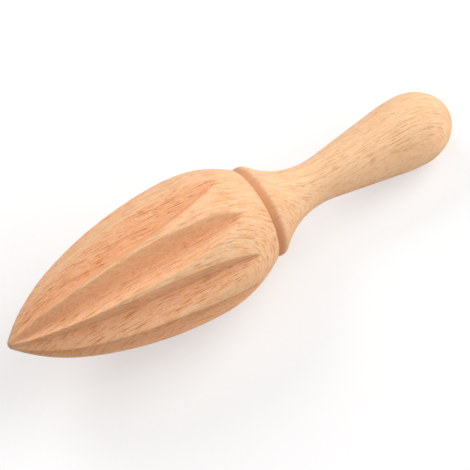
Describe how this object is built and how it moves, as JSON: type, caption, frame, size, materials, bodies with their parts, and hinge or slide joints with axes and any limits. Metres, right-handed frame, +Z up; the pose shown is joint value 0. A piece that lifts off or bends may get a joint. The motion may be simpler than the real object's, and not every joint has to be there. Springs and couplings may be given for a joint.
{
  "type": "citrus reamer",
  "caption": "Wooden hand reamer with a pointed, fluted head that is turned in half a citrus fruit, a collar and a bulb-ended handle.",
  "frame": {"origin": "bottom centre of the bounding box, on the table under the middle of the tool, which lies on its side", "axes": "+X from the pointed tip to the end of the handle, +Z up, +Y to the left when looking from the tip to the handle; the tool's own axis dips by 7.4 degrees towards the handle end"},
  "size_m": [0.1638, 0.0458, 0.0466],
  "materials": {
    "beech": "bare, sanded"
  },
  "bodies": {
    "root": {"reamer_head": "beech", "handle": "beech"}
  },
  "joints": []
}
